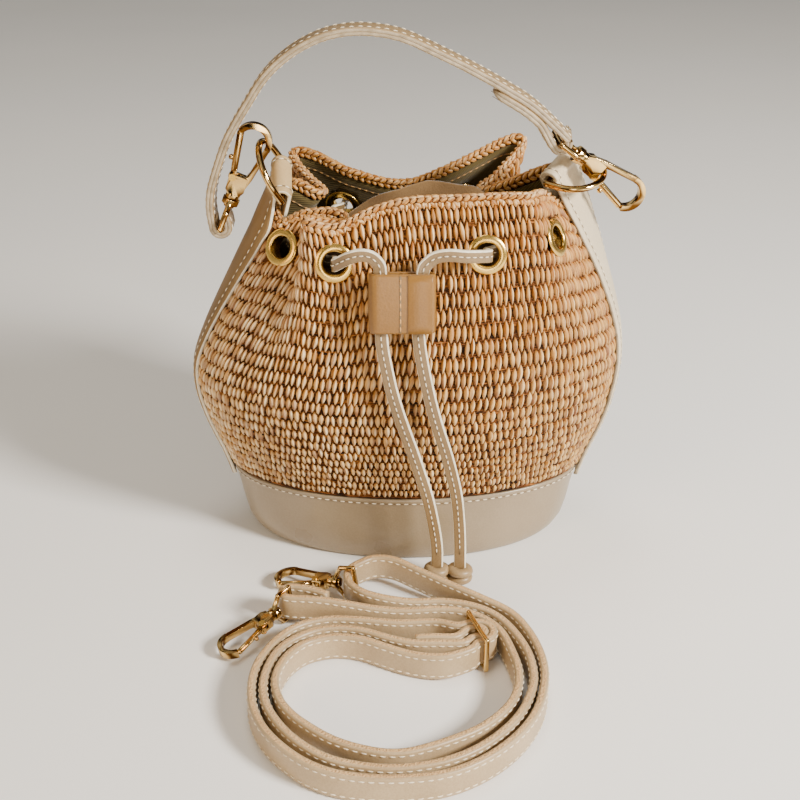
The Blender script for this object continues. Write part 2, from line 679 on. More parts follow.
def knotPiece(name, spot):
    # the lace rolled twice round itself
    fine, coarse = np.radians(np.arange(0, 360, 15)), np.radians(np.arange(0, 360, 30))
    (radiusX, radiusY), (ropeWide, ropeHigh) = knot["radius"], knot["rope"]
    bm = bmesh.new()
    for lift, tilt, out in knot["turns"]:
        ring = []
        for x, y in zip(np.cos(fine), np.sin(fine)):
            mid = np.array((x * (radiusX + out), y * (radiusY + out), lift + tilt * x))
            ring.append([mid + np.array((x * math.cos(b), y * math.cos(b), 0)) * ropeWide
                         + np.array((0, 0, math.sin(b) * ropeHigh)) for b in coarse])
        loft(name, np.array(ring) + spot, [], None, wrap=True, bm=bm)
    core = [[(knot["core"][0] * math.cos(a) * k, knot["core"][1] * math.sin(a) * k, z) for a in coarse]
            for z, k in knot["coreRows"]]
    loft(name, np.array(core) + spot, [], None, bm=bm)
    obj = finishMesh(name, bm, [taupe])
    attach(obj, "bag")
    return obj


def makeLace():
    bar = roundBar(lace["width"], lace["thick"], lace["round"])
    half, flat = lace["width"] / 2, lace["thick"] / 2
    cut = half - lace["rawEdge"]  # the pale raw edge starts here on the face
    outline = np.vstack([bar[:3], [(cut, -flat)], bar[3:9], [(cut, flat)], bar[9:]])
    mid = (outline[:, 0] + np.roll(outline[:, 0], -1)) / 2
    row = {"pitch": lace["pitch"], "length": lace["dash"], "thick": lace["thread"]}

    def pick(i, j):
        at = mid[i % len(mid)]
        return 1 if at > cut - 0.05 or at < -half + 0.12 else 0

    knots = [knotPiece("knotLeft", (15.7, tl, 6.5)), knotPiece("knotRight", (27.4, tl, 6))]
    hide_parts("drawstring_knot_left")
    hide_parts("drawstring_knot_right")
    tails = (("laceTailLeft", leftRun[::-1], knots[0]), ("laceTailRight", rightRun, knots[1]))
    for name, points, end in tails:
        path = spline(points, 4)
        obj = loft(name, sweep(path, fx, outline), [laceSkin, rawEdge], matOf=pick)
        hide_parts("drawstring")
        _, side, up = frames(path, fx)
        flip = np.where(up[:, 1:2] < 0, 1, -1)
        out = (up * flip)[1:-3]
        line = path[1:-3] - side[1:-3] * 0.3 + out * lace["face"]
        threads = stitches(name + "Threads", line, out, thread, **row)
    path = spline([p for p, _ in loopRun], 3)
    side = spline([s for _, s in loopRun], 3)
    obj = loft("laceLoop", sweep(path, side, outline), [laceSkin, rawEdge], matOf=pick)
    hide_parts("drawstring")
    up = frames(path, side)[2]
    for flip in (1, -1):
        stitches("laceLoopThreads", path + up * lace["face"] * flip, up * flip, thread, **row)


makeLace()
print("lace ready")


def bandRings(levels, count):
    t = np.arange(count) * 360 / count
    return np.array([wall(t, h, inset) for h, inset in levels])


baseBand = {"count": 240, "swell": ((0.22, 5, 40), (0.14, 11, 0), (0.08, 23, 10)),
            "joinWide": 9, "joinThick": 1.1, "seam": {"pitch": 4.1, "length": 2.9, "thick": 0.33}}


def makeBase():
    top = bag["bandH"]
    section = [  # height and inset round the band's thickness
        (0.1, 1.9), (0.1, 0.7), (0.5, 0.25), (1.2, 0.05), (3, 0), (8, 0), (14, 0), (20, 0), (26, 0), (31, 0),
        (top - 4.6, 0), (top - 4.2, 0.08), (top - 3.8, 0), (top - 1.2, -0.15), (top - 0.3, 0.1), (top, 0.75),
        (top - 0.2, 1.5), (top - 0.9, 2.1), (31, 2.2), (20, 2.2), (8, 2.2), (1, 2.2)]
    rings = bandRings(section, baseBand["count"])
    t = np.arange(baseBand["count"]) * 360 / baseBand["count"]
    soft = sum(deep * np.sin(np.radians(t * often + start)) for deep, often, start in baseBand["swell"])
    c = unit(np.stack([np.cos(np.radians(t)), 1.6 * np.sin(np.radians(t)), 0 * t], 1))
    for j, (h, inset) in enumerate(section):
        if inset < 0.3 and 2 < h < top - 1:
            rings[j] += c * (soft * math.sin(math.pi * h / top))[:, None]
    band = loft("leatherBand", rings, [bandSkin], wrap=True)
    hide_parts("base_band")
    t = np.linspace(0, 360, 481)
    line = top - 2.5
    stitches("bandThreads", wall(t, line, -0.18), wallNormal(t, line), thread, **baseBand["seam"])
    h = np.linspace(1, top - 0.6, 9)
    seam = wall(np.full(9, 90.0), h, -0.25)  # the band's join at the back
    flat = roundBar(baseBand["joinWide"], baseBand["joinThick"], 0.4)
    bar = loft("bandSeam", sweep(seam, fx, flat), [bandSkin])
    for x in (-3, 3):
        stitches("bandSeamThreads", seam + (x, 0.5, 0), (0, 1, 0), thread)


makeBase()


weave = {"around": 172, "low": 39.8, "high": 186.2, "lowPitch": 4.7, "highPitch": 7.4, "long": 1.27,
         "wide": 0.99, "bulge": 1.75, "sink": 0.45, "holeRadius": 8.6, "parts": 4}
uneven = {"place": 0.05, "width": (0.78, 1.14), "reach": (0.86, 1.12), "lean": 0.14, "bow": 0.16, "rise": 0.3,
          "lift": (0.8, 1.15), "tone": 0.13, "ridge": (0.1, 1), "pattern": (0, 40)}  # from leaf to leaf


def arcBearings(h, fractions, inset=0.0):
    # bearings that split the outline at height h into equal lengths, starting at the back
    t = np.linspace(90, 450, 1441)
    p = wall(t, np.full(t.shape, h), inset)
    run = np.concatenate([[0], np.linalg.norm(np.diff(p, axis=0), axis=1).cumsum()])
    return np.interp(np.mod(fractions, 1) * run[-1], run, t), run[-1]


def rowMarks():
    # heights between the rows, which are lower near the band
    marks = [weave["low"]]
    while marks[-1] < weave["high"] - weave["highPitch"] * 0.6:
        grow = float(ramp(48, 118, marks[-1] + 3))
        marks.append(marks[-1] + weave["lowPitch"] + (weave["highPitch"] - weave["lowPitch"]) * grow)
    scale = (weave["high"] - weave["low"]) / (marks[-1] - marks[0])
    return [weave["low"] + (m - marks[0]) * scale for m in marks]


marks = rowMarks()
warpHeights = np.linspace(34, 192, 33)
warpFractions = np.linspace(-0.02, 1.02, 1249)


def warpTable():
    # bearing of each warp line at each height, smoothed upwards so that the leaves stay nested
    rows = []
    belly = None
    for h in warpHeights:
        t, _ = arcBearings(h, np.mod(warpFractions, 1))
        t = t + np.where(warpFractions < 0, -360, 0) + np.where(warpFractions >= 1, 360, 0)
        belly = t if belly is None or h < 100 else belly
        rows.append(0.4 * t + 0.6 * belly)
    rows = np.array(rows)
    for _ in range(3):
        rows[1:-1] = (rows[:-2] + 2 * rows[1:-1] + rows[2:]) / 4
    return rows


warp = warpTable()


def warpBearing(f, h):
    x = np.clip((f - warpFractions[0]) / (warpFractions[1] - warpFractions[0]), 0, len(warpFractions) - 1.001)
    y = np.clip((h - warpHeights[0]) / (warpHeights[1] - warpHeights[0]), 0, len(warpHeights) - 1.001)
    i, j = x.astype(int), y.astype(int)
    a, b = x - i, y - j
    return ((warp[j, i] * (1 - a) + warp[j, i + 1] * a) * (1 - b)
            + (warp[j + 1, i] * (1 - a) + warp[j + 1, i + 1] * a) * b)


def makeWeave():
    leaf, flat = smallMesh("leaf", bmesh.ops.create_grid, x_segments=4, y_segments=7, size=1)
    u, v = flat[:, 0], flat[:, 1]
    # a spindle with a fuller lower half, and a ridge to one side
    low = np.where(v < 0.08, (0.08 - v) / 1.08, (v - 0.08) / 0.92)
    span = (1 - low ** 1.75) ** 1.08
    lift = ((1 - np.abs(u) ** 2.3) ** 0.8 * (1 - np.abs(v) ** 2.6)
            + 0.10 * np.exp(-((u - 0.4) / 0.3) ** 2) * (1 - v * v))
    spots, tone, tip, ridge, uvs = [], [], [], [], []
    count = weave["around"]
    for r in range(len(marks)):
        rowH = marks[min(r + 1, len(marks) - 1)] - marks[min(r, len(marks) - 2)]
        h = marks[r] + rowH / 2
        shrink = 0.85 if r == 0 else 1.0
        bulge = weave["bulge"] * (0.62 + 0.38 * rowH / weave["highPitch"])
        if r == len(marks) - 1:
            h -= rowH * 0.34
            shrink = 0.5
        for k in range(count):
            f = (k + 0.5 * (r % 2)) / count + noiseRng.normal(0, uneven["place"] / count)
            mid = skin(warpBearing(np.array([f]), np.array([h])), np.array([h]))[0]
            if nearEyelet(mid, weave["holeRadius"]):
                continue
            half = 0.5 / count * weave["wide"] * noiseRng.uniform(*uneven["width"])
            reach = rowH * 0.5 * weave["long"] * shrink * noiseRng.uniform(*uneven["reach"])
            lean = noiseRng.normal(0, uneven["lean"]) - 0.04
            bow = noiseRng.normal(0, uneven["bow"])
            rise = h + noiseRng.normal(0, uneven["rise"])
            around = f + (u * span + lean * v + bow * (1 - v * v)) * half
            spots.append((around, rise + v * reach, lift * bulge * noiseRng.uniform(*uneven["lift"])))
            tone.append(np.clip(0.45 + 0.42 * v + noiseRng.normal(0, uneven["tone"]), 0, 1))
            tip.append(np.clip((np.abs(v) - 0.7) / 0.3, 0, 1) ** 1.5 * 0.75
                       + 0.5 * np.clip((np.abs(u) - 0.75) / 0.25, 0, 1) ** 2 + 0.22 * np.clip(-u - 0.1, 0, 1))
            ridge.append(np.exp(-((u - 0.42) / 0.22) ** 2) * np.clip(1.15 - v * v * 1.2, 0, 1)
                         * noiseRng.uniform(*uneven["ridge"]))
            shift = noiseRng.uniform(*uneven["pattern"])
            uvs.append(np.stack([u * span + shift, v * 3 + shift], 1))
    f = np.array([s[0] for s in spots])
    h = np.clip(np.array([s[1] for s in spots]), weave["low"] - 1.4, weave["high"] + 1.8)
    c = np.array([s[2] for s in spots])
    t = warpBearing(f.ravel(), h.ravel())
    points = skin(t, h.ravel()) + wallNormal(t, h.ravel()) * (c.ravel() - weave["sink"])[:, None]
    points = points.reshape(f.shape + (3,))
    cut = np.linspace(0, len(spots), weave["parts"] + 1).astype(int)
    for k in range(weave["parts"]):
        some = slice(cut[k], cut[k + 1])
        values = {"leafTone": tone[some], "leafTip": tip[some], "leafRidge": ridge[some]}
        obj = repeat(f"raffiaLeaves{k}", leaf, points[some], [straw], "bag", values, uvs[some])
        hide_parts("raffia_body")
    # thin straws that run round between the rows
    half = len(marks) // 2
    crossStraws("raffiaCrossLow", marks[:half])
    crossStraws("raffiaCrossHigh", marks[half:])


crossStraw = {"count": 300, "levels": (-1.3, 0.0, 1.3), "inset": 0.35, "wide": 0.42, "high": 0.45,
              "wave": 0.2, "holeRadius": 8.8}


def crossStraws(name, heights):
    # three thin straws run round at each height, and stop at the eyelets
    bm = bmesh.new()
    count = crossStraw["count"]
    ringT = np.arange(count) * 360 / count
    outline = np.array([(math.cos(a), math.sin(a)) for a in np.radians(np.arange(0, 360, 72))])
    up = np.array((0, 0, 1.0))
    wave = crossStraw["wave"] * np.sin(np.radians(ringT * weave["around"] / 2))[:, None, None]
    for level in heights:
        for shift in crossStraw["levels"]:
            h = max(level + shift, weave["low"] - 0.4)
            mid = wall(ringT, h, crossStraw["inset"])
            keep = [not nearEyelet(p, crossStraw["holeRadius"]) for p in mid]
            n = wallNormal(ringT, np.full(count, h))
            ring = (mid[:, None] + n[:, None] * (outline[None, :, :1] * crossStraw["wide"] + wave)
                    + up * outline[None, :, 1:] * crossStraw["high"])
            if all(keep):
                loft("", ring, [], None, wrap=True, bm=bm)
                continue
            start = keep.index(False)
            run = []
            for i in [(start + k) % count for k in range(count + 1)]:
                if keep[i]:
                    run.append(i)
                    continue
                if len(run) > 2:
                    loft("", ring[run], [], None, bm=bm)
                run = []
    obj = finishMesh(name, bm, [core])
    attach(obj, "bag")
    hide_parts("raffia_body")


def wallShell(name, levels, count, mats, holeRadius):
    # a closed double wall with a tunnel at each eyelet
    rings = bandRings(levels, count)
    bm = bmesh.new()
    loft(name, rings, [], None, wrap=True, bm=bm, drop=lambda c: nearEyelet(np.array(c) / mm, holeRadius))
    for mid, _ in eyeletFrames:
        rims = [e for e in bm.edges
                if e.is_boundary and np.linalg.norm(np.array(e.verts[0].co) / mm - mid) < 14]
        if rims:
            bmesh.ops.bridge_loops(bm, edges=rims)
    bmesh.ops.recalc_face_normals(bm, faces=bm.faces)
    obj = finishMesh(name, bm, mats)
    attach(obj, "bag")
    return obj


def makeCore():
    up = [38.6, 42, 46, 52, 58, 64, 70, 78, 86, 94, 102, 110, 118, 126, 133, 139, 144, 149, 154, 159,
          163, 167, 171, 175, 179, 183, 186]
    levels = ([(30, 2.6), (38.2, 2.4)] + [(h, 0.75) for h in up] + [(h, 1.9) for h in up[::-1]]
              + [(38.2, 4.2), (30, 4.3)])
    obj = wallShell("raffiaBacking", levels, 240, [core], 7.9)
    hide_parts("raffia_body")


makeCore()
makeWeave()
print("weave ready")


braid = {
    "pitch": 3.5, "mid": 188.4, "straw": (2.15, 1.15, 0.85), "lean": 0.12, "size": (0.9, 1.1),
    "section": [(-2.1, 0.4), (-1.2, -0.2), (1.2, -0.2), (2.1, 0.6), (2.1, 2.3), (1.2, 3.0), (-1.2, 3.0),
                (-2.1, 2.2)],
    "rows": [  # height, inset, slant, and whether the row lies on the outside, the top or the inside
        (1.05, -0.15, 0.62, 1), (-1.25, -0.15, -0.62, 1), (2.1, 1.45, 0.0, 0), (1.05, 2.85, -0.62, -1),
        (-1.25, 2.85, 0.62, -1)],
}


def makeBraid():
    rings = np.array([wall(np.arange(360), braid["mid"] + z, inset) for z, inset in braid["section"]])
    obj = loft("rimBraidCore", rings, [core], wrap=True)
    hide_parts("rim_braid")
    bump, ball = smallMesh("bump", bmesh.ops.create_uvsphere, u_segments=8, v_segments=6, radius=1)
    spots, tone, ridge, uvs = [], [], [], []
    count = int(arcBearings(braid["mid"], [0])[1] / braid["pitch"])
    strawLong, strawWide, strawDeep = braid["straw"]
    for z, inset, tilt, way in braid["rows"]:
        level = braid["mid"] + z
        bearing, _ = arcBearings(level, (np.arange(count) + (0.5 if z > 0 else 0.0)) / count, inset)
        mid = wall(bearing, level, inset)
        ahead = unit(wall(bearing + 0.6, level, inset) - wall(bearing - 0.6, level, inset))
        up = np.array((0, 0, 1.0))
        up = unit(up - ahead * (ahead @ up)[:, None])
        out = np.cross(ahead, up)
        if way == 0:
            up, out = out, up
        for k in range(count):
            lean = tilt + noiseRng.normal(0, braid["lean"])
            a = ahead[k] * math.cos(lean) + up[k] * math.sin(lean)
            b = up[k] * math.cos(lean) - ahead[k] * math.sin(lean)
            size = noiseRng.uniform(*braid["size"])
            spots.append(mid[k] + (ball[:, :1] * a * strawLong + ball[:, 1:2] * b * strawWide
                                   + ball[:, 2:] * out[k] * strawDeep) * size)
            tone.append(np.full(len(ball), np.clip(noiseRng.normal(0.5, uneven["tone"]), 0, 1)))
            shift = noiseRng.uniform(*uneven["pattern"])
            ridge.append(np.clip(ball[:, 1], 0, 1) * 0.5)
            uvs.append(np.stack([ball[:, 1] + shift, ball[:, 0] * 3 + shift], 1))
    values = {"leafTone": tone, "leafTip": np.zeros(np.shape(tone)), "leafRidge": ridge}
    obj = repeat("rimBraidStraws", bump, spots, [straw], "bag", values, uvs)
    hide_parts("rim_braid")


makeBraid()


def makeLining():
    up = [6, 10, 14, 22, 30, 37, 41, 46, 55, 64, 74, 85, 96, 106, 115, 124, 132, 139, 145, 150, 155, 160,
          165, 170, 174, 178, 182, 185.2]
    inset = {h: 2.4 + (2.5 if h < 42 else 0.4 if h < 47 else 0) for h in up}  # it steps in over the band
    levels = [(h, inset[h]) for h in up] + [(h, inset[h] + 0.75) for h in up[::-1]]
    obj = wallShell("twillLining", levels, 300, [twill], 8.0)
    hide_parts("lining_wall")
    around = np.linspace(0, 360, 721)
    line = 180.5
    face = -wallNormal(around, line)
    stitches("liningThreads", wall(around, line, 3.3), face, tanThread, pitch=3.6, length=2.4, thick=0.28)


def flatRing(width, thick, cols):
    # outline of a flat bar that thins towards its two edges
    x = np.linspace(-1, 1, cols)
    half = thick / 2 * np.minimum(1, (1 - np.abs(x)) * cols / 2.5 + 0.35)
    return np.vstack([np.stack([x * width / 2, -half], 1), np.stack([x[::-1] * width / 2, half], 1)])


pouch = {
    "wide": 91, "thick": 2.8, "foot": 6.2, "at": (4, 4),
    "top": [(-46, 158), (-44, 165), (-26, 178.5), (-8, 186.5), (8, 189.5), (22, 189), (34, 184.5), (44, 166),
            (46, 158)],
}


def makePouch():
    edge = spline(pouch["top"], 5)
    x, y = flatRing(pouch["wide"], pouch["thick"], 29).T
    crown = np.interp(x, edge[:, 0], edge[:, 1]) + 0.5 * np.sin(x / 4.2)
    rings = []
    for f in np.concatenate([np.linspace(0, 0.96, 22), [0.985, 0.996, 1.0]]):
        squeeze = 1.0 if f < 0.97 else (1.0 - (f - 0.97) * 22)
        high = pouch["foot"] + f * (crown - pouch["foot"])
        sway = (0.9 * np.sin(x / 9 + 1) + 0.7 * np.sin(x / 4.6)) * f ** 3
        rings.append(np.stack([x + pouch["at"][0], pouch["at"][1] + y * squeeze + sway, high], 1))
    obj = loft("suedePouch", rings, [suede])
    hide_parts("slip_pocket")


makeLining()
makePouch()


eyelet = {  # radius and depth round each ring's section
    "flange": [(5.5, -5.4), (5.5, 0.6), (5.62, 1.15), (6.1, 1.55), (7.0, 1.62), (8.0, 1.5), (8.9, 1.2),
               (9.4, 0.75), (9.5, 0.4), (9.2, 0.2), (6.2, 0.2), (6.2, -5.4)],
    "washer": [(5.9, -4.6), (9.2, -4.6), (9.5, -4.9), (9.4, -5.3), (8.6, -5.75), (6.6, -5.8), (5.8, -5.5)],
}


def makeEyelets():
    bm = bmesh.new()
    for mid, out in eyeletFrames:
        side = unit(np.cross(out, fz))
        up = np.cross(side, out)
        for rows in eyelet.values():
            rings = [[mid + (side * math.cos(a) + up * math.sin(a)) * r + out * z for r, z in rows]
                     for a in np.radians(np.arange(0, 360, 7.5))]
            loft("", rings, [], None, wrap=True, bm=bm)
    obj = finishMesh("brassEyelets", bm, [brass])
    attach(obj, "bag")
    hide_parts("eyelet_flanges", "eyelet_washers")


makeEyelets()
print("lining and eyelets ready")


sideStrap = {
    "wide": 26, "thick": 2.4, "fold": 2.4 + 1.65 + 0.9, "deep": 2.4 + 0.7 + 0.3, "cols": 25,
    # height and gap to the bag, up its outside and down its inside
    "outer": [(32, .7), (46, .7), (56, .7), (70, .7), (85, .7), (100, .7), (115, .7), (130, .7),
              (144, .7), (157, .7), (169, .7), (178, 1.2), (186, 1.6)],
    "inner": [(186, 1), (178, .8), (169, .6), (157, .5), (150, .5)],
    "half": 12.5, "flare": 2.5, "flareFrom": 92, "flareTo": 190, "insideLess": 2,  # in degrees and mm
    "seam": {"pitch": 4.0, "length": 2.8, "thick": 0.34},
}
tabs = {  # bearing, middle of the fold, its axis, the way it faces, leather and edge
    "Left": (178, (-61, 0, 192), (-0.07, 0.906, 0.418), -1, leftStrapSkin, rawEdge),
    "Right": (0, (75, 0, 198), (0.506, 0.823, 0.253), 1, cream, greyEdge),
}


def makeSideStrap(name):
    t0, mid, ax, sx, skinMat, edgeMat = tabs[name]
    mid, ax = np.array(mid, float), unit(ax)
    cols = sideStrap["cols"]
    j = np.linspace(-1, 1, cols)
    up = unit(np.array((0, 0, 1.0)) - ax * ax[2])
    away = np.cross(up, ax)
    away = away * (1 if away[0] * sx > 0 else -1)

    def flatRow(h, inset):
        grow = float(ramp(sideStrap["flareFrom"], sideStrap["flareTo"], h))
        half = sideStrap["half"] + sideStrap["flare"] * grow - (sideStrap["insideLess"] if inset > 0 else 0)
        return wall(t0 + half * j, np.full(cols, h), inset)

    def foldRow(a, r):
        a = math.radians(a)
        spread = sx * j[:, None] * sideStrap["wide"] / 2
        return mid + ax * spread + (up * math.cos(a) + away * math.sin(a)) * r

    def rows(out):
        thick = sideStrap["thick"] if out else 0
        r = sideStrap["fold"] - (0 if out else sideStrap["thick"])
        made = [flatRow(h, -g - thick) for h, g in sideStrap["outer"]]
        made += [foldRow(a, r) for a in range(110, -101, -30)]
        made += [flatRow(h, sideStrap["deep"] + g + thick) for h, g in sideStrap["inner"]]
        return np.array([spline([row[k] for row in made], 4) for k in range(cols)]).transpose(1, 0, 2)

    outer, inner = rows(True), rows(False)
    rings = []
    for o, i in zip(outer, inner):
        o, i = o.copy(), i.copy()
        for row, other in ((o, i), (i, o)):  # the two edges are rounded a little
            for k in (0, cols - 1):
                row[k] = row[k] + (other[k] - row[k]) * 0.2
        rings.append(np.vstack([o, i[::-1]]))
    edges = (cols - 1, 2 * cols - 1)
    obj = loft("sideStrap" + name, rings, [skinMat, edgeMat], matOf=lambda i, r: 1 if i in edges else 0)
    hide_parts("side_strap_" + name.lower())
    face = unit(outer - inner)
    for k in (3, cols - 4):
        stitches(f"sideStrap{name}Threads", outer[3:-6, k], face[3:-6, k], thread, **sideStrap["seam"])


makeSideStrap("Left")
makeSideStrap("Right")


hooks = {  # the bar of each hook's eye, the hook's direction, its flat's normal and its size
    "left_hook": ((-91.386, -0.006, 169.456), (0.39, 0, 0.921), (0, -1, 0), 1),
    "right_hook": ((72.375, -8.116, 214.340), (0.776, 0.127, -0.617), (-0.099, 0.992, 0.079), 1),
    "strap_hook_a": ((-56, -96, 10.7), (-0.676, -0.719, -0.16), fz, 0.82),
    "strap_hook_b": ((-25, -81.5, 10.7), (-0.92, 0.36, -0.16), fz, 0.82),
}
handle = {
    "wide": 14, "thick": 3.8, "round": 0.9, "wrap": 1.5 + 0.3 + 1.9,
    "start": [(-88.9, 0, 174.8), (-88.1, 0, 172.6)],
    "arch": [(-95.8, 0, 175), (-96, 0, 181), (-94.9, 0, 188.5), (-92.3, -0.8, 196.5), (-89.3, -2, 204.5),
             (-86, -3.4, 212.5), (-81.3, -5, 221), (-74, -7, 232.5), (-67, -8.5, 243), (-59, -10, 251.5),
             (-48.5, -11, 259), (-36, -12, 264.5), (-21, -12, 266.5), (-3, -12, 264), (15, -11, 256),
             (32, -10, 247.5), (49, -9, 237.8), (60.5, -8.2, 230.2)],
    "tail": [(61.4, -9, 220.6), (57, -9.2, 226.6), (46.2, -9.8, 234.5), (40.5, -10, 237.8)],
    "tailEnd": (0.42, 0.78, 0.94),
    "tailNear": 3.95, "tailLoose": 3.45, "looseOver": 11,  # how far the tail stands off behind the right bar
    "twist": (20, 64),  # the strap turns to the right hook between these places
    "seamAt": 4.9, "seamOut": 1.92, "seam": {"pitch": 4.0, "length": 2.8, "thick": 0.33},
}


def halfTurn(c, a, b, r):
    return [np.array(c) + np.array(a) * r * math.cos(k) + np.array(b) * r * math.sin(k)
            for k in np.radians(np.linspace(0, 180, 7))]


def doubleBar(w, t, r):
    # two plies with a fine seam on each edge
    one = roundBar(w, t, r, 4)
    pts = []
    for k, p in enumerate(one):
        pts.append(p)
        q = one[(k + 1) % len(one)]
        if abs(p[0] - q[0]) < 0.01 and abs(p[1] - q[1]) > t * 0.3:
            s = math.copysign(1, p[0])
            for f, dip in ((0.44, 0), (0.5, 0.3), (0.56, 0)):
                pts.append((p[0] - s * dip, p[1] + (q[1] - p[1]) * f))
    return np.array(pts)


def makeHandle():
    leftBar, rightBar = (np.array(hooks[name][0]) for name in ("left_hook", "right_hook"))
    hr, fr = unit(hooks["right_hook"][1]), unit(hooks["right_hook"][2])
    wrap = handle["wrap"]
    pts = handle["start"] + halfTurn(leftBar, fx, (0, 0, -1), wrap) + handle["arch"]
    pts += halfTurn(rightBar, -np.cross(fr, hr), hr, wrap) + handle["tail"]
    path = spline(pts, 3)
    near = np.linalg.norm(path - rightBar, axis=1)
    turn = [k for k in range(len(path)) if k > 60 and near[k] < wrap + 0.25]
    main = path[:turn[0] + 1]  # the tail behind the right bar is pressed against this part
    dense = np.concatenate([main[:-1] + (main[1:] - main[:-1]) * s for s in np.linspace(0, 0.95, 20)])
    for k in range(turn[-1] + 1, len(path)):
        gap = path[k] - dense
        q = dense[np.argmin(np.linalg.norm(gap, axis=1))]
        loose = max(0.0, 1 - (near[k] - wrap) / handle["looseOver"]) ** 1.4
        path[k] = q + unit(path[k] - q) * (handle["tailNear"] + handle["tailLoose"] * loose)
    k = ramp(*handle["twist"], path[:, 0])[:, None]
    side = np.array((0, -1.0, 0)) * (1 - k) - fr * k
    outline = doubleBar(handle["wide"], handle["thick"], handle["round"])
    rings = sweep(path, side, outline)
    for k, slim in enumerate(handle["tailEnd"], 1):
        mid = path[-k]
        rings[-k] = mid + (rings[-k] - mid) * slim
    obj = loft("handleStrap", rings, [taupe, greyEdge], "handle", matOf=edgeMats(outline))
    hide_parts("handle_strap")
    _, across, up = frames(path, side)
    for x in (-handle["seamAt"], handle["seamAt"]):
        for flip in (1, -1):
            line = path + across * x + up * flip * handle["seamOut"]
            stitches("handleThreads", line, up * flip, thread, "handle", **handle["seam"])


makeHandle()


slider = {"wide": 31, "high": 28, "thick": 8.0, "leather": 1.6, "at": (-2, -60, 152), "tilt": -10,
          "flapWide": 11.4, "flapAt": 8.3}


def makeSlider():
    w, h, t, wallT = slider["wide"], slider["high"], slider["thick"], slider["leather"]
    tilt = Matrix.Translation(slider["at"]) @ Matrix.Rotation(math.radians(slider["tilt"]), 4, "X")

    def stadium(inset):
        r = t / 2 - inset
        a = w / 2 - t / 2
        out = []
        for sx, start in ((1, -90), (-1, 90)):
            for q in np.radians(np.linspace(start, start + 180, 13)):
                out.append((sx * a + r * math.cos(q), r * math.sin(q)))
            for f in np.linspace(0, 1, 16)[1:-1]:
                out.append((sx * a * (1 - 2 * f), sx * r))
        return np.array(out)

    def moved(ring):
        return [np.array(tilt @ Vector(p)) for p in ring]

    section = [  # height and inset round the leather's thickness
        (-h / 2 + 0.5, 0.12), (-h / 2 + 1.1, 0), (-h / 4, -0.12), (0, -0.18), (h / 4, -0.1),
        (h / 2 - 1.1, 0), (h / 2 - 0.4, 0.15), (h / 2, 0.55), (h / 2, 1.1), (h / 2 - 0.4, wallT - 0.1),
        (h / 2 - 1, wallT), (0, wallT), (-h / 2 + 1, wallT), (-h / 2 + 0.4, wallT - 0.1),
        (-h / 2, 1.1), (-h / 2, 0.5)]
    rings = [moved([(x, y, z) for x, y in stadium(i)]) for z, i in section]
    obj = loft("sliderLoop", rings, [sliderSkin], "slider", wrap=True)
    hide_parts("cord_slider")
    web = [moved([(x, y, z) for x, y in roundBar(1.4, t - 1.6, 0.4)]) for z in (-h / 2 + 0.6, h / 2 - 0.6)]
    loft("sliderWeb", web, [sliderSkin], "slider")
    flapBar = roundBar(slider["flapWide"], 0.9, 0.35)
    flap = [moved([(x + slider["flapAt"], y - t / 2 - 0.28, z) for x, y in flapBar])
            for z in np.linspace(-h / 2 + 0.3, h / 2 - 0.3, 8)]
    loft("sliderFlap", flap, [sliderSkin], "slider")
    z = np.linspace(-h / 2 + 0.6, h / 2 - 0.6, 20)
    face = np.array(tilt.to_3x3() @ Vector((0, -1, 0)))
    line = moved([(-0.8, -t / 2 - 0.2, q) for q in z])
    stitches("sliderThreads", line, face, tanThread, "slider", pitch=3.7, length=2.7, thick=0.36)
    back = moved([(0, t / 2 + 0.2, q) for q in z])
    stitches("sliderBackThreads", back, -face, thread, "slider", pitch=3.7, length=2.7, thick=0.32)


makeSlider()
print("straps ready")


buckle = {"at": (33, -125.5), "u": (0.323, -0.946), "n": (0.946, 0.323), "slot": 7.4}


def by(u, n, z=2.8):  # a point beside the buckle
    return tuple(buckle["at"][k] + buckle["u"][k] * u + buckle["n"][k] * n for k in (0, 1)) + (z,)


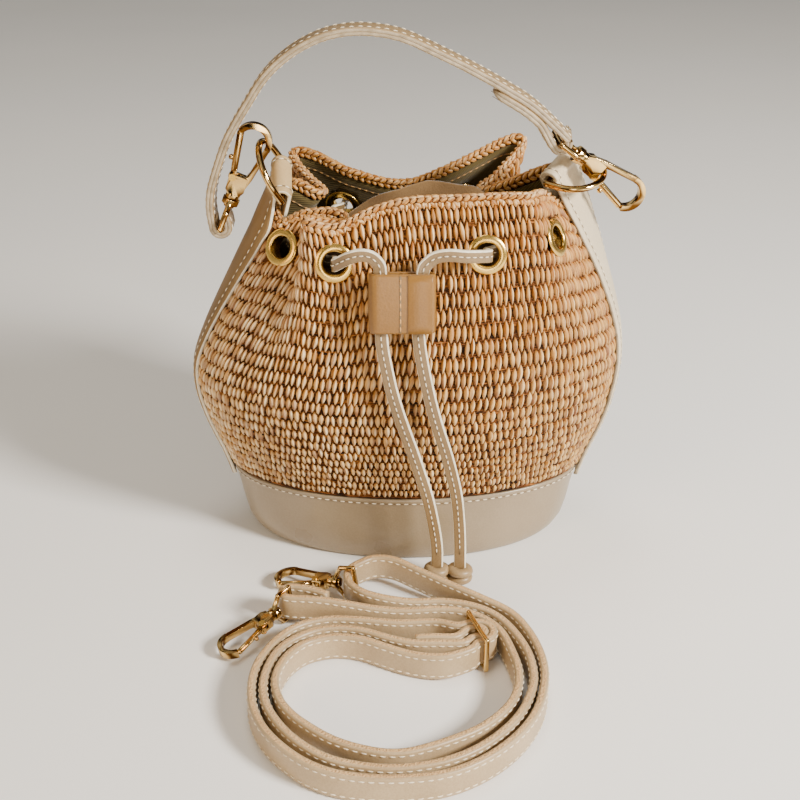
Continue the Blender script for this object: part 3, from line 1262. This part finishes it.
def strapPoints():
    # from one folded end round the coil, through the buckle, round again, and back to the buckle
    s = buckle["slot"]
    return [
        (-38, -98, 3.9), (-46, -93.6, 3.9), (-52, -92, 3.9), (-56.6, -91.5, 3.9), (-60, -94.1, 3.9),
        (-59.9, -98.1, 3.9), (-56, -100.6, 3.9), (-47, -101.4, 3.9), (-38, -102.4, 3.6), (-27.5, -103.7, 2.4),
        (-13.6, -105.5, 1), (0, -105.5, 0), (14, -104.3, 0), (25.2, -105.3, 0), (33, -108.8, 0),
        (40, -115, 0), (44.8, -123, 0), (48.3, -136, 0), (50.1, -149, 0), (49, -161.5, 0),
        (44.2, -173.6, 0), (34.5, -185, 0), (23.2, -192.8, 0), (8, -200, 0), (-3, -203, 0),
        (-15, -201.8, 0), (-30.6, -195.5, 0), (-44.5, -184.5, 0), (-52.2, -175.5, 0), (-56.4, -167, 0),
        (-58.4, -157, 0), (-57.2, -147, 0), (-53, -137.5, 0), (-45.6, -129.8, 0), (-33.8, -125.8, 0),
        (-21.3, -127.4, 0), (-11, -132.5, 0), (-1, -137.5, 0), (9, -141, 0.6), (19, -142, 1.6),
        by(10.6, -7.5, 2.4), by(7.9, -3), by(s, 0), by(s * 0.707, s * 0.707), by(0, s),
        by(-s * 0.707, s * 0.707), by(-s, 0), by(-s - 0.5, -7, 2.4),
        (13.5, -115.6, 1), (-4.4, -115, 0), (-22.6, -112.6, 0), (-38, -112.3, 0), (-51, -117.5, 0),
        (-59.5, -127, 0), (-65.5, -139, 0), (-68.2, -150, 0), (-68.4, -163, 0), (-66, -176, 0),
        (-59.5, -190, 0), (-48, -203.5, 0), (-35.5, -212.3, 0), (-21.5, -216.8, 0), (-3, -217.8, 0),
        (16, -214.8, 0), (33, -205.5, 0), (47.5, -191, 0), (56.8, -174.5, 0), (61.3, -156.6, 0),
        (61.6, -140.4, 0), (57.7, -122.5, 0), (50, -106.8, 0), (36, -95.5, 0.6), (19.1, -84.5, 1.8),
        (5.5, -75.5, 3), (-6, -68, 3.9), (-16, -66.5, 3.9), (-23.5, -71, 3.9), (-27.9, -76, 3.9),
        (-29.2, -81.2, 3.9), (-27.6, -88.5, 3.9), (-21.5, -95, 3.6), (-13, -98, 2.6), (-4, -99, 1.4),
        (5, -98.8, 0.4), (16.4, -97.8, 0), (27.5, -99.8, 0), (37, -104.3, 0), (44.5, -111.5, 0),
        (50, -121, 0), (54.2, -132, 0), (56.4, -143, 0), (56.3, -157.5, 0), (51.5, -173, 0),
        (43.5, -186.5, 0), (30.4, -199.5, 0), (15.1, -208, 0), (-3, -211.8, 0), (-19, -210.6, 0),
        (-34.5, -205.2, 0), (-49, -192.8, 0), (-59.2, -177, 0), (-63.2, -163, 0), (-62.6, -148, 0),
        (-57.2, -133, 0), (-46, -122.8, 0), (-34.2, -119.2, 0), (-21.5, -120.8, 0), (-7.6, -127.5, 0.4),
        (3, -131.8, 1.2), (14, -133.2, 2.2),
        by(5.4, -9.5), by(3.6, -4), by(3.4, 0), by(2.4, 2.4), by(0, 3.4), by(-2.4, 2.4), by(-3.4, 0),
        by(-3.2, -4), by(0.2, -11), (12.5, -128.9, 2.4), (5, -128.2, 1.4)]


strap = {"wide": 13, "thick": 3.6, "round": 0.9, "rows": ((-4.6, "Low"), (4.6, "High")),
         "seamOut": 1.82, "seam": {"pitch": 4.0, "length": 2.9, "thick": 0.3, "groove": False}}


def makeStrap():
    path = spline([(x, y, z + strap["wide"] / 2) for x, y, z in strapPoints()], 4)
    outline = roundBar(strap["wide"], strap["thick"], strap["round"])
    rings = sweep(path, fz, outline)
    obj = loft("shoulderStrap", rings, [strapSkin, cutEdge], "strap", matOf=edgeMats(outline))
    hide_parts("shoulder_strap")
    _, across, up = frames(path, fz)
    for x, tag in strap["rows"]:
        for flip, way in ((1, "Inner"), (-1, "Outer")):
            line = path + across * x + up * flip * strap["seamOut"]
            stitches(f"strapThreads{tag}{way}", line, up * flip, thread, "strap", **strap["seam"])


makeStrap()
print("shoulder strap ready")


metalEdge = {"width": 0.28, "angle": 32, "smooth": 38, "shortest": 0.2, "shadeWay": (0.7, 0.25, 0.65),
             "shadeBands": 6.5, "shadeStart": 0.6, "shadeUnder": 0.35}
gateTip = {"ahead": 46.7, "beside": 6.95, "radius": 1.75}  # the ball at the end of a full-size gate


def softened(node, mat, body, tip=None):
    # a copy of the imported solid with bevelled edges; tip adds a ball at a point
    bm = bmesh.new()
    bm.from_mesh(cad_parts[node].data)
    bmesh.ops.remove_doubles(bm, verts=bm.verts, dist=0.000004)
    bmesh.ops.dissolve_degenerate(bm, dist=0.000002, edges=bm.edges)
    bmesh.ops.dissolve_limit(bm, angle_limit=math.radians(1.0), verts=bm.verts, edges=bm.edges)
    angle = math.radians(metalEdge["angle"])
    sharp = [e for e in bm.edges if len(e.link_faces) == 2 and e.calc_face_angle(0) > angle
             and e.calc_length() > metalEdge["shortest"] * mm]
    bmesh.ops.bevel(bm, geom=sharp, offset=metalEdge["width"] * mm, offset_type="OFFSET", segments=2,
                    profile=0.5, affect="EDGES", clamp_overlap=True, material=-1)
    bmesh.ops.recalc_face_normals(bm, faces=bm.faces)
    if tip is not None:
        at = Matrix.Translation(Vector(tip[0]) * mm)
        bmesh.ops.create_uvsphere(bm, u_segments=20, v_segments=12, radius=tip[1] * mm, matrix=at)
    name = node.split("_")
    obj = finishMesh(name[0] + "".join(w.title() for w in name[1:]), bm, [mat])
    obj.data.set_sharp_from_angle(angle=math.radians(metalEdge["smooth"]))
    facing = np.empty(len(obj.data.vertices) * 3)
    obj.data.vertices.foreach_get("normal", facing)
    facing = facing.reshape(-1, 3)
    towards = facing @ unit(metalEdge["shadeWay"])
    shade = 0.5 - 0.5 * np.sin(metalEdge["shadeBands"] * towards + metalEdge["shadeStart"])
    shade += metalEdge["shadeUnder"] * np.clip(-facing[:, 2], 0, 1)
    layer = obj.data.attributes.new("metalShade", "FLOAT", "POINT")
    layer.data.foreach_set("value", shade.astype(np.float32))
    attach(obj, body)
    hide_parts(node)
    return obj


def makeMetal():
    for hook, (at, u, w, k) in hooks.items():
        holder = "strap" if k < 1 else "handle"
        x = unit(u)
        z = unit(np.array(w, float) - x * (np.array(w, float) @ x))
        y = np.cross(z, x)
        end = np.array(at) + (x * gateTip["ahead"] + y * gateTip["beside"]) * k
        for part in ("eye", "body", "gate"):
            body = holder if part == "eye" else hook if part == "body" else hook + "_gate"
            tip = (end, gateTip["radius"] * k) if part == "gate" else None
            softened(hook + "_" + part, gold, body, tip)


def dress(node, mat):
    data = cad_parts[node].data
    data.materials.clear()
    data.materials.append(mat)


makeMetal()
for side in ("left", "right"):
    softened("d_ring_" + side, gold, "ring_" + side)
dress("strap_buckle", gold)
for hook in hooks:
    dress(hook + "_rivet", brass)
    dress(hook + "_spring", steel)
for node, mat in (("base_panel", taupe), ("base_board", board), ("lining_floor", twill)):
    dress(node, mat)
print("metal ready")
